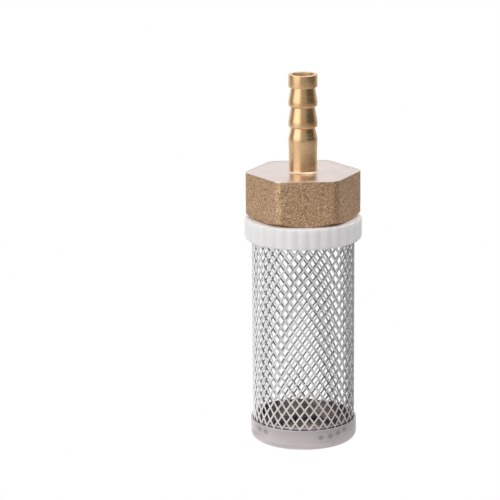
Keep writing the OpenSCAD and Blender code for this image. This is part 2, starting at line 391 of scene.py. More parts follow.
def wire_steel():
    """Drawn spring wire: smooth and grey."""
    skin = Finish("wire_steel", Metallic=1.0)
    drawn = skin.speckle(1.5, detail=2.0)
    skin.colour(skin.mix(skin.between(drawn, 0.3, 0.7), (0.62, 0.62, 0.63, 1), (0.46, 0.46, 0.47, 1)))
    skin.rough(skin.between(drawn, 0.3, 0.7, 0.2, 0.34))
    return skin.material


def rubber():
    """Black rubber with a grey bloom."""
    skin = Finish("rubber")
    bloom = skin.speckle(0.5, detail=4.0)
    greyed = skin.between(bloom, 0.35, 0.75)
    skin.colour(skin.mix(greyed, (0.018, 0.018, 0.019, 1), (0.05, 0.05, 0.052, 1)))
    skin.rough(skin.between(bloom, 0.3, 0.7, 0.55, 0.75))
    skin.bump(skin.speckle(4.0), 0.01)
    return skin.material


# ---------------------------------------------------------------- mesh tools


def add_object(name, mesh):
    made = bpy.data.objects.new(name, mesh)
    bpy.context.scene.collection.objects.link(made)
    return made


def even_angles(count):
    return np.arange(count) * 2 * math.pi / count


def circle(radius, height, angles):
    """A ring of points. Radius and height are one number each, or one for every angle."""
    points = [radius * np.cos(angles), radius * np.sin(angles), np.broadcast_to(height, len(angles))]
    return np.stack(points, 1)


def shell(name, rings, materials, paint=None, closed=True, values=None):
    """A skin of quads over rings of equal length, in millimetres. paint gives each ring gap's material
    number. A closed skin joins its last ring to its first; an open one is shut by its pole rings."""
    count, ring_size = len(rings), len(rings[0])
    points = np.concatenate(rings) * MM
    faces, numbers = [], []
    for k in range(count if closed else count - 1):
        a, b = k * ring_size, (k + 1) % count * ring_size
        for i in range(ring_size):
            j = (i + 1) % ring_size
            faces.append((a + i, a + j, b + j, b + i))
            numbers.append(paint[k] if paint else 0)
    mesh = bpy.data.meshes.new(name)
    mesh.from_pydata(points.tolist(), [], faces)
    for material in materials:
        mesh.materials.append(material)
    mesh.polygons.foreach_set("material_index", numbers)
    for key, given in (values or {}).items():
        mesh.attributes.new(key, "FLOAT", "POINT").data.foreach_set("value", given)
    tidy = bmesh.new()
    tidy.from_mesh(mesh)
    bmesh.ops.remove_doubles(tidy, verts=tidy.verts, dist=0.0005 * MM)
    bmesh.ops.recalc_face_normals(tidy, faces=tidy.faces)
    if tidy.calc_volume(signed=True) < 0:
        bmesh.ops.reverse_faces(tidy, faces=tidy.faces)
    tidy.to_mesh(mesh)
    tidy.free()
    shade(mesh, 32)
    return add_object(name, mesh)


def shade(mesh, sharp_deg):
    """Smooth shading, with every edge sharper than that left crisp."""
    mesh.polygons.foreach_set("use_smooth", [True] * len(mesh.polygons))
    mesh.set_sharp_from_angle(angle=math.radians(sharp_deg))
    mesh.update()


def softened(corners, steps=3):
    """An outline whose corners are rounded: each corner is (r, z, rounding radius)."""
    out = []
    for k, (r, z, rounding) in enumerate(corners):
        here = np.array((r, z))
        if rounding <= 0 or k in (0, len(corners) - 1):
            out.append((r, z))
            continue
        back = np.array(corners[k - 1][:2]) - here
        on = np.array(corners[k + 1][:2]) - here
        reach = min(rounding, 0.45 * np.linalg.norm(back), 0.45 * np.linalg.norm(on))
        one = here + back / np.linalg.norm(back) * reach
        other = here + on / np.linalg.norm(on) * reach
        for step in range(steps + 1):
            t = step / steps
            out.append(tuple((1 - t) ** 2 * one + 2 * t * (1 - t) * here + t ** 2 * other))
    return out


def revolved(name, corners, finish, closed=True):
    """A turned piece from a half outline."""
    angles = even_angles(96)
    rings = [circle(r, z, angles) for r, z in softened(corners)]
    return shell(name, rings, [finish], closed=closed)


def thread_rings(thread, low, high, angles):
    """Rings up a threaded wall between two heights. The ridge fades out over a quarter turn at its ends."""
    rings = []
    step = 0.1
    flank = (thread["root_w"] - thread["crest_w"]) / 2
    turn = (angles % (2 * math.pi)) / (2 * math.pi)
    for z in np.arange(low, high + 1e-6, step):
        along = np.round((z - thread["z0"]) / PITCH - turn) + turn
        off = np.abs(z - thread["z0"] - along * PITCH)
        fade = np.clip(np.minimum(along, thread["turns"] - along) * 4, 0, 1)
        ridge = np.clip((thread["crest_w"] / 2 - off) / flank + fade, 0, fade)
        r = thread["root"] + ridge * (thread["crest"] - thread["root"])
        rings.append(circle(r, z, angles))
    return rings


def finished(piece, body, slot, *nodes):
    """Hands a piece to the frame: the body it moves with, its material slot (not used) and the nodes it
    stands for.
    """
    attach(piece, body)
    if nodes:
        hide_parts(*nodes)
    return piece


# ---------------------------------------------------------------- brass body


def hexagon_ring():
    """Points round the hexagon. Its corners are turned down to a circle, and the edges between flat and
    corner are a little soft."""
    flat, corner = HEX_AF / 2, HEX_CORNER_R
    flat_steps, corner_steps, spread = 18, 8, 0.25
    reach = math.acos(flat / corner)
    points = []
    for k in range(6):
        middle = HEX_TURN + k * math.pi / 3
        half = math.pi / 6 - reach
        turns = middle + np.linspace(-1, 1, corner_steps + 1) * half * (1 + spread)
        across = np.tan(np.linspace(-1, 1, flat_steps + 1)[1:-1] * (reach - spread * half))
        turns = np.concatenate([turns, middle + math.pi / 6 + np.arctan(across)])
        points.append(turns)
    turns = np.concatenate(points)
    from_flat = (turns - HEX_TURN) % (math.pi / 3) - math.pi / 6
    on_flat = flat / np.cos(from_flat)
    gap = corner - on_flat
    radius = corner - 0.5 * (gap + np.sqrt(gap ** 2 + HEX_EDGE_SOFT ** 2))
    return np.stack([radius * np.cos(turns), radius * np.sin(turns)], 1)


def at_height(points, z):
    return np.column_stack([points, np.broadcast_to(z, len(points))])


def barb_outline():
    """Down the barb, from its mouth to the hexagon's top."""
    top = body_high.z
    corners = [(BORE_R, top - MOUTH_DEPTH, 0), (BORE_R + MOUTH_FLARE, top, 0.08), (BARB_R, top, 0.2),
               (BARB_R, HEX_TOP + LIP_FOOT, 0.1)]
    for neck, widest, foot, widest_round, foot_round in TAPERS:
        corners += [(NECK_R, HEX_TOP + neck, 0.06), (BARB_R, HEX_TOP + widest, widest_round),
                    (BARB_R, HEX_TOP + foot, foot_round)]
    corners += [(SHANK_R, HEX_TOP + SHANK_TOP, 1.0), (SHANK_R, HEX_TOP + FILLET_R + 0.1, 0)]
    fillet = []
    for degrees in range(90, -1, -10):
        turn = math.radians(degrees)
        fillet.append((SHANK_R + FILLET_R * (1 - math.sin(turn)), HEX_TOP + FILLET_R * (1 - math.cos(turn))))
    return softened(corners, 4) + fillet


def rough_casting(points, amount):
    """Moves side points in or out a little, as a cast skin wanders."""
    moved = points.copy()
    for k, point in enumerate(points):
        wander = noise.noise(Vector(point) * 0.55) + 0.5 * noise.noise(Vector(point) * 1.3)
        outward = np.array((point[0], point[1], 0.0)) / math.hypot(point[0], point[1])
        moved[k] = point + outward * amount * wander
    return moved


def chamfer_z(r):
    """Height of the hexagon's lower chamfer at a radius."""
    return HEX_Z + (r - HEX_CHAMFER_R) * math.tan(math.radians(30))


def make_body(finishes):
    """Brass body, laid ring by ring: down the barb, over the hexagon, up the thread and into the bore."""
    turned, faced, cast, drilled_shaded = 0, 1, 2, 3
    hexagon = hexagon_ring()
    angles = np.arctan2(hexagon[:, 1], hexagon[:, 0])
    hex_r = np.hypot(hexagon[:, 0], hexagon[:, 1])
    rings, paint = [], []

    def lay(ring, number):
        rings.append(ring)
        paint.append(number)

    outline = barb_outline()
    for r, z in outline:
        # The bore and the mouth take the darker drilled brass: painted shade.
        if r < BORE_R + MOUTH_FLARE * 0.85:
            skin = drilled_shaded
        # The fillet's lower half takes the pale top colour: a painted reflection ring round the barb's foot.
        elif z < HEX_TOP + FILLET_R * 0.5:
            skin = faced
        else:
            skin = turned
        lay(circle(r, z, angles), skin)

    start = circle(outline[-1][0], HEX_TOP, angles)
    edges = [at_height(hexagon * (1 - inward / HEX_CORNER_R), HEX_TOP - down) for inward, down in BROKEN_EDGE]
    for share in (0.35, 0.7, 1.0):
        lay(start * (1 - share) + edges[0] * share, faced)
    lay(edges[1], faced)

    side_steps = 26
    side_foot = chamfer_z(hex_r) + 0.06
    for k in range(side_steps + 1):
        z = SIDE_TOP + (side_foot - SIDE_TOP) * k / side_steps
        wander = CAST_WANDER if 0 < k < side_steps else 0
        lay(rough_casting(np.column_stack([hexagon, z]), wander), cast)
    outer_r = hex_r - 0.03
    for share in (0.06, 1.0):
        r = outer_r + (HEX_CHAMFER_R - outer_r) * share
        lay(circle(r, chamfer_z(r), angles), turned)

    lay(circle(BODY_THREAD["root"] + 0.4, HEX_Z, angles), turned)
    for ring in thread_rings(BODY_THREAD, HEX_Z + 0.4, ROOF_Z - 0.6, angles):
        lay(ring, turned)
    cone = 1.5
    roof = [(BODY_THREAD["root"], ROOF_Z - 0.5, 0), (BODY_THREAD["root"], ROOF_Z, 0.1),
            (BORE_R + cone, ROOF_Z, 0.1), (BORE_R, ROOF_Z + cone, 0.2), (BORE_R, ROOF_Z + 6, 0)]
    for r, z in softened(roof):
        lay(circle(r, z, angles), drilled_shaded if r < BORE_R + 0.1 else turned)
    body = shell("valve_body_brass", rings, finishes, paint)
    return finished(body, "body", "brass", "valve_body")


def make_gasket(finish):
    """Flat ring with soft edges."""
    low, high, r = gasket_low.z, gasket_high.z, gasket_high.x
    inner, middle = r - GASKET_W, (low + high) / 2
    outline = [(inner, middle, 0), (inner, high, 0.2), (r, high, 0.2), (r, low, 0.2), (inner, low, 0.2),
               (inner, middle - SEAM, 0)]
    return finished(revolved("gasket", outline, finish), "gasket", "gasket_rubber", "body_gasket")


# ---------------------------------------------------------------- geometry trees


def geometry_tree(name, sizes):
    """A geometry tree with Geometry in and out and one named input for each size."""
    tree = bpy.data.node_groups.new(name, "GeometryNodeTree")
    tree.interface.new_socket("Geometry", in_out="INPUT", socket_type="NodeSocketGeometry")
    tree.interface.new_socket("Geometry", in_out="OUTPUT", socket_type="NodeSocketGeometry")
    for size, value in sizes.items():
        kind = "NodeSocketInt" if isinstance(value, int) else "NodeSocketFloat"
        tree.interface.new_socket(size, in_out="INPUT", socket_type=kind)
    made = Tree(tree)
    given = made.node("NodeGroupInput").outputs
    result = made.node("NodeGroupOutput").inputs["Geometry"]
    return made, given, result


def ended(tree, geometry, material, result):
    """Ends a tree: instances made real, then the material."""
    real = tree.node("GeometryNodeRealizeInstances", {"Geometry": geometry}).outputs["Geometry"]
    painted = tree.node("GeometryNodeSetMaterial", {"Geometry": real})
    painted.inputs["Material"].default_value = material
    tree.feed(result, painted.outputs["Geometry"])


def grown(piece, tree, sizes):
    """Runs a geometry tree on a piece and keeps the result as its plain mesh."""
    modifier = piece.modifiers.new("grow", "NODES")
    modifier.node_group = tree.tree
    for item in tree.tree.interface.items_tree:
        if item.in_out == "INPUT" and item.name in sizes:
            modifier[item.identifier] = sizes[item.name]
    settled(piece)


def settled(piece):
    """Applies a piece's modifiers to its mesh and removes them."""
    bpy.context.view_layer.update()
    graph = bpy.context.evaluated_depsgraph_get()
    mesh = bpy.data.meshes.new_from_object(piece.evaluated_get(graph))
    piece.modifiers.clear()
    piece.data = mesh


# ---------------------------------------------------------------- collar


def rib_tree(material, sizes):
    """Draws the outer skin in between ribs: soft flutes all round, deepest midway."""
    tree, given, result = geometry_tree("grip_ribs", sizes)
    place = tree.node("GeometryNodeInputPosition").outputs["Position"]
    x, y, z = tree.node("ShaderNodeSeparateXYZ", {"Vector": place}).outputs
    angle = tree.math("ARCTAN2", y, x)
    radius = tree.length(x, y)
    wave = tree.math("COSINE", tree.math("MULTIPLY", angle, given["Ribs"]))
    flute = tree.math("POWER", tree.between(wave, 1.0, -1.0), 1.6)
    outer = tree.between(radius, given["Inner radius"], given["Outer radius"])
    drop = tree.math("MULTIPLY", tree.math("MULTIPLY", flute, given["Depth"]), outer)
    shrink = tree.math("SUBTRACT", 1.0, tree.math("DIVIDE", drop, radius))
    below_spigot = tree.math("LESS_THAN", z, given["Flange top"])
    new_place = tree.node("ShaderNodeCombineXYZ", {"X": tree.math("MULTIPLY", x, shrink),
                                                   "Y": tree.math("MULTIPLY", y, shrink), "Z": z})
    moved = tree.node("GeometryNodeSetPosition", {"Geometry": given["Geometry"], "Selection": below_spigot,
                                                  "Position": new_place.outputs["Vector"]})
    ended(tree, moved.outputs["Geometry"], material, result)
    return tree


def make_collar(finish):
    """Collar: its flange with the mesh slot under it, the threaded spigot, and the seat's pocket inside."""
    low, top, r, root = collar_low.z, collar_high.z, collar_high.x, SPIGOT_THREAD["root"]
    slot_in, slot_out = MESH_R - MESH_T - SLOT_PLAY, MESH_R + SLOT_PLAY
    slot_top = mesh_high.z
    recess_z, pocket_z, chamber_z, ledge_z = low + 0.2, low + 0.8, low + 2.8, PLATE_Z
    angles = even_angles(RIB_COUNT * 10)
    under = softened([(THROAT_R, pocket_z, 0), (THROAT_R, recess_z, 0.1), (slot_in - 0.4, recess_z, 0.1),
                      (slot_in, low, 0.1), (slot_in, slot_top, 0), (slot_out, slot_top, 0),
                      (slot_out, low, 0.12), (r - 0.35, low, 0.2), (r, low + 0.45, 0.5),
                      (r, low + 1.6, 0), (r, FLANGE_TOP - 1.6, 0), (r, FLANGE_TOP, 0.55),
                      (root + 0.1, FLANGE_TOP, 0.1), (root, FLANGE_TOP + 0.15, 0)])
    over = softened([(root, top - 0.35, 0), (root - 0.3, top, 0.1), (SPIGOT_BORE_R, top, 0.12),
                     (SPIGOT_BORE_R, ledge_z, 0), (CHAMBER_R, ledge_z, 0), (CHAMBER_R, chamber_z, 0.1),
                     (SEAT_POCKET_R, chamber_z, 0), (SEAT_POCKET_R, pocket_z, 0),
                     (THROAT_R + SEAM, pocket_z, 0)])
    rings = [circle(radius, z, angles) for radius, z in under]
    rings += thread_rings(SPIGOT_THREAD, FLANGE_TOP + 0.3, top - 0.4, angles)
    rings += [circle(radius, z, angles) for radius, z in over]
    collar = shell("collar", rings, [finish])
    sizes = {"Ribs": RIB_COUNT, "Depth": FLUTE_DEPTH * MM, "Inner radius": (r - FLUTE_REACH) * MM,
             "Outer radius": (r - 0.3) * MM, "Flange top": (FLANGE_TOP + 0.05) * MM}
    grown(collar, rib_tree(finish, sizes), sizes)
    return finished(collar, "strainer", "collar_plastic", "strainer_collar")


# ---------------------------------------------------------------- strainer basket


def diamond_tree(material, sizes):
    """Expanded metal rolled into a tube. A square grid runs along both strand directions: its lines come in
    pairs, the two edges of a strand, and the squares between strands are left open. Each knuckle where
    strands cross is tipped about its upright axis, as slit and stretched metal is."""
    tree, given, result = geometry_tree("diamond_mesh", sizes)
    cells = tree.math("ADD", tree.math("ADD", given["Columns"], given["Rows"]), 3.0)
    span = tree.math("MULTIPLY", cells, 2.0)
    lines = tree.math("ADD", span, 1.0)
    grid = tree.node("GeometryNodeMeshGrid", {"Size X": span, "Size Y": span,
                                              "Vertices X": lines, "Vertices Y": lines}).outputs["Mesh"]
    place = tree.node("GeometryNodeInputPosition").outputs["Position"]
    parts = tree.node("ShaderNodeSeparateXYZ", {"Vector": place}).outputs

    def along(coordinate, first_cell):
        """Place of a grid line in strand spacings, and 0 or 1 for the strand's near or far edge."""
        number = tree.math("ADD", coordinate, cells)
        cell = tree.math("FLOOR", tree.math("DIVIDE", tree.math("ADD", number, 0.01), 2.0))
        far = tree.math("SUBTRACT", number, tree.math("MULTIPLY", cell, 2.0))
        place = tree.math("ADD", cell, tree.math("MULTIPLY", far, given["Strand share"]))
        return tree.math("ADD", place, first_cell), far

    s, s_far = along(parts["X"], -1.0)
    t, t_far = along(parts["Y"], tree.math("SUBTRACT", -1.0, given["Columns"]))
    column = tree.math("DIVIDE", tree.math("SUBTRACT", s, t), 2.0)
    row = tree.math("DIVIDE", tree.math("ADD", s, t), 2.0)
    s_open, t_open = tree.math("GREATER_THAN", s_far, 1.2), tree.math("GREATER_THAN", t_far, 1.2)
    unwanted = tree.math("MULTIPLY", s_open, t_open)
    for value, low, high in ((column, 0.1, tree.math("ADD", given["Columns"], 0.1)),
                             (row, 0.1, tree.math("SUBTRACT", given["Rows"], 0.1))):
        unwanted = tree.math("MAXIMUM", unwanted, tree.math("LESS_THAN", value, low))
        unwanted = tree.math("MAXIMUM", unwanted, tree.math("GREATER_THAN", value, high))
    kept = tree.node("GeometryNodeDeleteGeometry", {"Geometry": grid, "Selection": unwanted}, domain="FACE")
    turned = tree.math("ADD", column, given["Turn"])
    angle = tree.math("DIVIDE", tree.math("MULTIPLY", turned, 2 * math.pi), given["Columns"])
    tip = tree.math("MULTIPLY", tree.math("SUBTRACT", s_far, t_far), given["Tip"])
    radius = tree.math("SUBTRACT", given["Radius"], tip)
    rolled = tree.node("ShaderNodeCombineXYZ", {
        "X": tree.math("MULTIPLY", radius, tree.math("COSINE", angle)),
        "Y": tree.math("MULTIPLY", radius, tree.math("SINE", angle)),
        "Z": tree.math("ADD", given["Foot"], tree.math("MULTIPLY", row, given["Rise"]))}).outputs["Vector"]
    moved = tree.node("GeometryNodeSetPosition", {"Geometry": kept.outputs["Geometry"], "Position": rolled})
    joined = tree.node("GeometryNodeMergeByDistance", {"Geometry": moved.outputs["Geometry"],
                                                       "Distance": 0.01 * MM})
    ended(tree, joined.outputs["Geometry"], material, result)
    return tree


def make_mesh(outside, shaded_side):
    """Strainer mesh, grown by a geometry tree, then given its thickness and softened edges."""
    middle_r = MESH_R - MESH_T / 2
    column_w = 2 * math.pi * middle_r / MESH_COLUMNS
    spacing = column_w * MESH_RISE / math.hypot(column_w, MESH_RISE)
    rows = (mesh_high.z - mesh_low.z) / MESH_RISE
    sizes = {"Columns": MESH_COLUMNS, "Rows": rows, "Strand share": STRAND_W / spacing,
             "Tip": KNUCKLE_TIP * MM, "Turn": MESH_TURN, "Radius": middle_r * MM,
             "Foot": mesh_low.z * MM, "Rise": MESH_RISE * MM}
    mesh = add_object("strainer_mesh_strands", bpy.data.meshes.new("strainer_mesh_strands"))
    grown(mesh, diamond_tree(outside, sizes), sizes)
    # The second material, on the inner side, the flanks and the soft edges, is the darker grey copy: painted
    # shade.
    mesh.data.materials.append(shaded_side)
    thick = mesh.modifiers.new("thickness", "SOLIDIFY")
    thick.thickness = SHEET_T * MM
    thick.offset = 0.0
    thick.material_offset = 1
    thick.material_offset_rim = 1
    soft = mesh.modifiers.new("soft_edges", "BEVEL")
    soft.width = STRAND_EDGE * MM
    soft.segments = 1
    soft.material = 1
    soft.limit_method = "ANGLE"
    settled(mesh)
    shade(mesh.data, 40)
    return finished(mesh, "strainer", "mesh_steel", "strainer_mesh")


def dimpled(rings, angles):
    """Presses the weld spots into the cap's wall, and says how strong the mark is at each point."""
    marks = []
    for ring in rings:
        mark = np.zeros(len(angles))
        r = np.hypot(ring[:, 0], ring[:, 1])
        wall = r > CAP_R - CAP_T - 0.2
        for k, (degrees, z) in enumerate(WELDS):
            toward = math.radians(degrees - 90)
            turn = (angles - toward + math.pi) % (2 * math.pi) - math.pi
            away = np.hypot(turn * CAP_R * 0.8, ring[:, 2] - z)
            spot_r = 0.42 + 0.06 * (k % 3)
            mark = np.maximum(mark, np.exp(-(away / spot_r) ** 2) * wall)
        sunk = np.where(r > CAP_R - CAP_T / 2, r - WELD_DEPTH * mark, r)
        scale = np.divide(sunk, r, out=np.ones_like(r), where=r > 1e-6)
        ring[:, 0] *= scale
        ring[:, 1] *= scale
        marks.append(mark)
    return np.concatenate(marks)


def corner_arc(radius, degrees):
    """Points on the bend between the cap's floor and its wall, from straight down to outwards."""
    points = []
    for angle in degrees:
        turn = math.radians(angle)
        r = CAP_R - CAP_CORNER_R + radius * math.cos(turn)
        points.append((r, CAP_CORNER_R + radius * math.sin(turn)))
    return points


def make_cap(outside, inside):
    """Drawn cup: outline from the middle of its underside, round the wall and back to the floor's middle."""
    r, top = CAP_R, cap_high.z
    inner = r - CAP_T
    rim_z = top - 0.22
    outline = softened([(0, DISH, 0), (DISH_R, DISH, 0.5), (FOOT_R, 0, 0.5), (r - CAP_CORNER_R, 0, 0)], 4)
    outline += corner_arc(CAP_CORNER_R, range(-80, 0, 10))
    outline += [(r, z) for z in np.linspace(CAP_CORNER_R, top - 0.25, 14)]
    outline += softened([(r, rim_z, 0), (r, top, 0.14), (inner, top, 0.14), (inner, rim_z, 0)], 4)
    turned_in = len(outline) - 1
    outline += [(inner, top - 1.2), (inner, CAP_CORNER_R)]
    outline += corner_arc(CAP_CORNER_R - CAP_T, range(-15, -91, -15))
    outline += [(FOOT_R - 0.1, CAP_T), (DISH_R, CAP_T + DISH), (4, CAP_T + DISH), (0, CAP_T + DISH)]
    angles = even_angles(400)
    rings = [circle(radius, z, angles) for radius, z in outline]
    weld = dimpled(rings, angles)
    # The inside of the cup takes the dark brown steel: painted shade.
    paint = [0 if k < turned_in else 1 for k in range(len(rings))]
    cap = shell("cap", rings, [outside, inside], paint, closed=False, values={"weld": weld})
    return finished(cap, "strainer", "cap_steel", "bottom_cap")


def make_ring(outside, inside):
    """Clamp ring. Above its bend it is a little wavy, most at its top edge."""
    r, low, top, bend = ring_high.x, ring_low.z, cap_high.z + RING_RISE, RING_BEND_Z
    inner = r - RING_T
    angles = even_angles(240)
    sway = 0.09 * np.sin(3 * angles + 0.6) + 0.06 * np.sin(8 * angles + 2) + 0.03 * np.sin(19 * angles)
    outline = softened([(r, bend, 0), (r, top - 0.5, 0), (r, top, 0.12), (inner, top, 0.12),
                        (inner, top - 0.5, 0), (inner, bend, 0), (inner, low, 0.1), (r, low, 0.1),
                        (r, bend - SEAM, 0)])
    rings = []
    paint = []
    for radius, z in outline:
        lift = (sway - 0.18) * max(0.0, (z - bend) / (top - bend))
        rings.append(circle(radius, z + lift, angles))
        # The ring's inside takes the dark brown steel: painted shade.
        paint.append(1 if radius < r - 0.2 else 0)
    ring = shell("clamp_ring_steel", rings, [outside, inside], paint)
    return finished(ring, "strainer", "cap_steel", "clamp_ring")


# ---------------------------------------------------------------- check valve


def make_seat(finish):
    """Seat ring: a groove for its O-ring, a flange and a raised lip that the poppet's seal shuts on."""
    low, high = box_mm("valve_seat")
    bore, wall = SEAT_BORE_R, 5.55
    groove_r, groove_low, groove_high = 5.0, low.z + 0.55, low.z + 1.45
    middle, shoulder, face = low.z + 1, low.z + 2, low.z + 2.6
    outline = [(bore, middle, 0), (bore, low.z, 0.15), (wall, low.z, 0.15), (wall, groove_low, 0.05),
               (groove_r, groove_low, 0.1), (groove_r, groove_high, 0.1), (wall, groove_high, 0.05),
               (wall, shoulder, 0), (high.x, shoulder, 0.1), (high.x, face, 0.12), (bore + 0.7, face, 0.1),
               (bore + 0.5, high.z, 0.12), (bore + 0.2, high.z, 0.1), (bore, high.z - 0.2, 0.1),
               (bore, middle + SEAM, 0)]
    return finished(revolved("seat_ring", outline, finish), "strainer", "seat_brass", "valve_seat")


def make_oring(finish):
    """Round rubber ring in the seat's groove."""
    low, high = box_mm("seat_oring")
    wire = (high.z - low.z) / 2
    centre_r, centre_z = high.x - wire, (low.z + high.z) / 2
    outline = [(centre_r + wire * math.cos(a), centre_z + wire * math.sin(a), 0) for a in even_angles(16)]
    return finished(revolved("oring", outline, finish), "strainer", "gasket_rubber", "seat_oring")


def make_poppet(finish):
    """Poppet in one moulding: the boss that holds its seal, the disc and the stem."""
    low, high = box_mm("poppet")
    disc_z, disc_top, disc_r, boss, stem = seal_high.z, seal_high.z + 0.9, high.x, POPPET_BOSS_R, STEM_R
    outline = [(0, low.z, 0), (boss - 0.5, low.z, 0.2), (boss, low.z + 0.4, 0.2), (boss, disc_z, 0),
               (disc_r, disc_z, 0.1), (disc_r, disc_top - 0.15, 0.3), (disc_r - 0.3, disc_top, 0.3),
               (stem + 0.5, disc_top, 0.4), (stem, disc_top + 0.5, 0.4), (stem, high.z - 0.3, 0.1),
               (stem - 0.3, high.z, 0.2), (0, high.z, 0)]
    moulding = revolved("poppet_moulding", outline, finish, closed=False)
    return finished(moulding, "poppet", "poppet_plastic", "poppet")


def make_seal(finish):
    """Rubber ring under the poppet's disc."""
    low, high, r, inner = seal_low.z, seal_high.z, seal_high.x, POPPET_BOSS_R
    middle = (low + high) / 2
    outline = [(inner, middle, 0), (inner, low, 0.15), (r, low, 0.25), (r, high, 0.1), (inner, high, 0.1),
               (inner, middle + SEAM, 0)]
    return finished(revolved("face_seal", outline, finish), "poppet", "gasket_rubber", "poppet_seal")


def add_spoke(build, turn, start, end):
    """One bevelled bar from the hub to the rim, turned to its place."""
    width, thick = 1.2, 1.0
    spoke = bmesh.ops.create_cube(build, size=1.0)["verts"]
    bmesh.ops.scale(build, verts=spoke, vec=((end - start) * MM, width * MM, thick * MM))
    bmesh.ops.translate(build, verts=spoke, vec=((start + end) / 2 * MM, 0, (PLATE_Z + thick / 2) * MM))
    edges = list({edge for vert in spoke for edge in vert.link_edges})
    bevelled = bmesh.ops.bevel(build, geom=edges, offset=0.12 * MM, segments=2, affect="EDGES")
    ends = list({vert for face in bevelled["faces"] for vert in face.verts})
    linked = set(ends)
    for vert in ends:
        linked.update(other for edge in vert.link_edges for other in edge.verts)
    bmesh.ops.rotate(build, verts=list(linked), cent=(0, 0, 0), matrix=Matrix.Rotation(turn, 3, "Z"))


def make_retainer(finish):
    """Spider: a rim pressed in the spigot, three spokes and a hub that guides the stem."""
    low, high, rim = retainer_low.z, retainer_high.z, retainer_high.x
    inner = rim - 1.0
    hole, hub_r, hub_plate_r, plate_top = STEM_R + 0.06, 2.1, 3.7, PLATE_Z + 1
    rim_outline = [(rim, PLATE_Z + 0.8, 0), (rim, high, 0.15), (inner, high, 0.2), (inner, PLATE_Z, 0.1),
                   (rim, PLATE_Z, 0.15), (rim, PLATE_Z + 0.8 - SEAM, 0)]
    hub_outline = [(hole, low + 1, 0), (hole, low, 0.12), (hub_r, low, 0.2), (hub_r, PLATE_Z, 0.1),
                   (hub_plate_r, PLATE_Z, 0.15), (hub_plate_r, plate_top, 0.25), (hole, plate_top, 0.12),
                   (hole, low + 1 + SEAM, 0)]
    rim_piece = revolved("retainer_spider", rim_outline, finish)
    hub_piece = revolved("hub", hub_outline, finish)
    build = bmesh.new()
    build.from_mesh(rim_piece.data)
    build.from_mesh(hub_piece.data)
    for k in range(3):
        add_spoke(build, 2 * math.pi * k / 3, hub_plate_r - 0.5, inner + 0.5)
    build.to_mesh(rim_piece.data)
    build.free()
    bpy.data.objects.remove(hub_piece)
    shade(rim_piece.data, 35)
    return finished(rim_piece, "strainer", "poppet_plastic", "spring_retainer")


def coil_tree(material, sizes):
    """Round wire along a helix whose end coils lie flat."""
    tree, given, result = geometry_tree("spring_coil", sizes)
    line = tree.node("GeometryNodeCurvePrimitiveLine").outputs["Curve"]
    dense = tree.node("GeometryNodeResampleCurve", {"Curve": line, "Count": given["Steps"]}).outputs["Curve"]
    share = tree.node("GeometryNodeSplineParameter").outputs["Factor"]
    angle = tree.math("MULTIPLY", tree.math("MULTIPLY", share, given["Turns"]), 2 * math.pi)
    height = tree.between(share, 0.12, 0.88, given["Low end"], given["High end"])
    helix = tree.node("ShaderNodeCombineXYZ", {
        "X": tree.math("MULTIPLY", given["Radius"], tree.math("COSINE", angle)),
        "Y": tree.math("MULTIPLY", given["Radius"], tree.math("SINE", angle)),
        "Z": height}).outputs["Vector"]
    wound = tree.node("GeometryNodeSetPosition", {"Geometry": dense, "Position": helix}).outputs["Geometry"]
    section = tree.node("GeometryNodeCurvePrimitiveCircle",
                        {"Resolution": 12, "Radius": given["Wire radius"]}).outputs["Curve"]
    wire = tree.node("GeometryNodeCurveToMesh", {"Curve": wound, "Profile Curve": section,
                                                 "Fill Caps": True}).outputs["Mesh"]
    ended(tree, wire, material, result)
    return tree


def make_spring(finish):
    """Compression spring with flat end coils."""
    wire_r = SPRING_WIRE_R
    sizes = {"Steps": 240, "Turns": SPRING_TURNS, "Radius": (spring_high.x - wire_r) * MM,
             "Wire radius": wire_r * MM, "Low end": (spring_low.z + wire_r) * MM,
             "High end": (spring_high.z - wire_r) * MM}
    spring = add_object("spring_wire", bpy.data.meshes.new("spring_wire"))
    grown(spring, coil_tree(finish, sizes), sizes)
    shade(spring.data, 50)
    finished(spring, "strainer", "spring_steel", "check_spring")
    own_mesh(spring)
    return spring


# ---------------------------------------------------------------- studio


# Brightness round the object, by degrees of azimuth: 0 is behind the camera, positive to the right.
# HORIZON is the surroundings, and the two floors are the sweep close to the object and further out.
HORIZON = [(-180, 1.0), (-130, 0.95), (-117, 0.30), (-98, 0.30), (-86, 0.75), (-70, 1.35), (-36, 1.4),
           (-18, 0.62), (0, 0.50), (27, 0.38), (38, 0.10), (97, 0.10), (112, 0.45), (126, 0.65), (180, 1.0)]
FAR_FLOOR = [(-180, 1.0), (-125, 0.9), (-114, 0.36), (-98, 0.36), (-84, 0.55), (-66, 1.15), (-36, 1.25),
             (-18, 0.56), (0, 0.40), (40, 0.31), (62, 0.17), (104, 0.17), (126, 0.5), (180, 1.0)]
NEAR_FLOOR = [(-180, 0.6), (-135, 0.65), (-112, 1.24), (-90, 0.84), (-60, 0.95), (-40, 0.80), (0, 0.78),
              (40, 0.63), (90, 0.56), (130, 0.66), (180, 0.6)]
FLOOR_CHANGE = (0.26, 0.32)
SKY_CHANGE = (0.3, 0.75)
SKY_LEVEL = 1.2
FLOOR_HALF = 2.0

SOFTBOX_SIDE = 840
SOFTBOX_DISTANCE = 700
SOFTBOX_AIM = (0, 0, 45)

CAMERA_PLACE = (0, -536.6, 179.6)
CAMERA_AIM = (-12.0, 0, 43.8)
CAMERA_LENS = 176.7
CAMERA_ROLL = -0.43


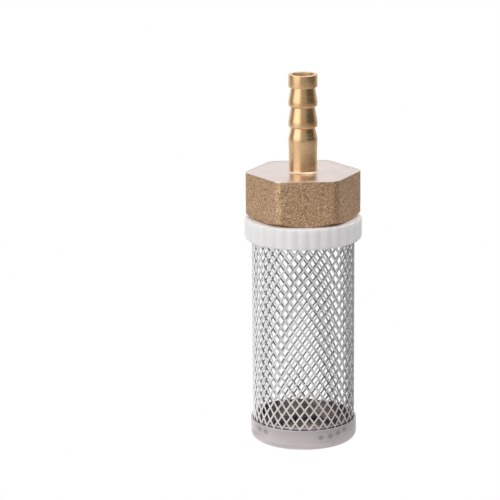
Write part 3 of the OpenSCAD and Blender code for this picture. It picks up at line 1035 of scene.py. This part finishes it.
def level_around(tree, x, y, stops):
    """Brightness by azimuth, from a list of stops in degrees."""
    azimuth = tree.math("ARCTAN2", x, tree.math("MULTIPLY", y, -1.0))
    around = tree.node("ShaderNodeValToRGB", {"Fac": tree.between(azimuth, -math.pi, math.pi)})
    elements = around.color_ramp.elements
    while len(elements) < len(stops):
        elements.new(0.5)
    for element, (degrees, level) in zip(elements, stops):
        element.position = (degrees + 180) / 360
        element.color = (level, level, level, 1.0)
    return around.outputs["Color"]


def blend_level(tree, factor, one, other):
    return tree.node("ShaderNodeMix", {0: factor, 2: one, 3: other}, data_type="FLOAT").outputs[0]


def cleared_tree(owner):
    """The node tree of a world or material, with the nodes it comes with taken out."""
    owner.use_nodes = True
    for spare in list(owner.node_tree.nodes):
        owner.node_tree.nodes.remove(spare)
    return Tree(owner.node_tree)


def white_to_camera(tree, lit, white):
    """What the camera sees directly is white; the object gets the other shader's light."""
    seen = tree.node("ShaderNodeLightPath").outputs["Is Camera Ray"]
    return tree.node("ShaderNodeMixShader", {0: seen, 1: lit, 2: white}).outputs["Shader"]


def studio_world():
    """Pale surroundings, brighter on the left and behind, with a dark flag on the right."""
    world = bpy.data.worlds.new("studio")
    bpy.context.scene.world = world
    tree = cleared_tree(world)
    way = tree.node("ShaderNodeTexCoord").outputs["Generated"]
    parts = tree.node("ShaderNodeSeparateXYZ", {"Vector": way}).outputs
    around = level_around(tree, parts["X"], parts["Y"], HORIZON)
    level = blend_level(tree, tree.between(parts["Z"], *SKY_CHANGE), around, SKY_LEVEL)
    lit = tree.node("ShaderNodeBackground", {"Color": (1.0, 0.985, 0.975, 1), "Strength": level})
    white = tree.node("ShaderNodeBackground", {"Color": (1, 1, 1, 1), "Strength": 1.0})
    mixed = white_to_camera(tree, lit.outputs["Background"], white.outputs["Background"])
    tree.node("ShaderNodeOutputWorld", {"Surface": mixed})


def softbox(name, azimuth, elevation, power):
    """Square lamp facing the object. Azimuth 0 is behind the camera, positive to the right."""
    data = bpy.data.lights.new(name, "AREA")
    data.shape = "SQUARE"
    data.size = SOFTBOX_SIDE * MM
    data.energy = power
    data.color = (0.94, 0.96, 1.0)
    lamp = add_object(name, data)
    turn, lift = math.radians(azimuth), math.radians(elevation)
    away = Vector((math.sin(turn) * math.cos(lift), -math.cos(turn) * math.cos(lift), math.sin(lift)))
    lamp.location = (Vector(SOFTBOX_AIM) + away * SOFTBOX_DISTANCE) * MM
    lamp.rotation_euler = away.to_track_quat("Z", "Y").to_euler()


def white_floor():
    """White to the camera. What the object sees of it changes round it, and is darkest on the right."""
    skin = bpy.data.materials.new("floor_white")
    tree = cleared_tree(skin)
    where = tree.node("ShaderNodeTexCoord").outputs["Object"]
    parts = tree.node("ShaderNodeSeparateXYZ", {"Vector": where}).outputs
    x, y = parts["X"], parts["Y"]
    far = tree.between(tree.length(x, y), *FLOOR_CHANGE)
    glow = blend_level(tree, far, level_around(tree, x, y, NEAR_FLOOR), level_around(tree, x, y, FAR_FLOOR))
    lit = tree.node("ShaderNodeEmission", {"Strength": glow}).outputs["Emission"]
    white = tree.node("ShaderNodeEmission", {"Strength": 1.0}).outputs["Emission"]
    tree.node("ShaderNodeOutputMaterial", {"Surface": white_to_camera(tree, lit, white)})
    half = FLOOR_HALF
    corners = [(-half, -half, 0), (half, -half, 0), (half, half, 0), (-half, half, 0)]
    mesh = bpy.data.meshes.new("floor")
    mesh.from_pydata(corners, [], [(0, 1, 2, 3)])
    mesh.materials.append(skin)
    add_object("floor", mesh)


def make_camera():
    """Long lens in front of the object and above it, looking a little past its left side."""
    data = bpy.data.cameras.new("camera")
    data.sensor_width = 36.0
    data.lens = CAMERA_LENS
    data.clip_start = 0.01
    camera = add_object("camera", data)
    camera.location = Vector(CAMERA_PLACE) * MM
    aim = Vector(CAMERA_AIM) * MM
    level = (aim - camera.location).to_track_quat("-Z", "Y")
    camera.rotation_euler = (level @ Quaternion((0, 0, 1), math.radians(CAMERA_ROLL))).to_euler()
    bpy.context.scene.camera = camera


# ---------------------------------------------------------------- the build

make_camera()
studio_world()
white_floor()
softbox("key_left", -52, 30, 0.85)
softbox("fill_right", 60, 50, 1.35)
bpy.context.scene.view_settings.view_transform = "Standard"

brass = turned_brass()
make_body([brass, faced_brass(), cast_brass(), drilled_brass()])
dark_rubber = rubber()
make_gasket(dark_rubber)
make_collar(moulded_plastic("collar_plastic", (0.795, 0.78, 0.785)))
make_mesh(mesh_steel("mesh_steel", (0.86, 0.85, 0.86), (0.70, 0.69, 0.70), 0.24),
          mesh_steel("mesh_steel_dull", (0.42, 0.41, 0.42), (0.27, 0.265, 0.27), 0.40))
drawn, shaded_inside = cap_steel(), stained_steel()
make_cap(drawn, shaded_inside)
make_ring(drawn, shaded_inside)
make_seat(brass)
make_oring(dark_rubber)
poppet_plastic = moulded_plastic("poppet_plastic", (0.78, 0.79, 0.80))
make_poppet(poppet_plastic)
make_seal(dark_rubber)
make_retainer(poppet_plastic)
make_spring(wire_steel())
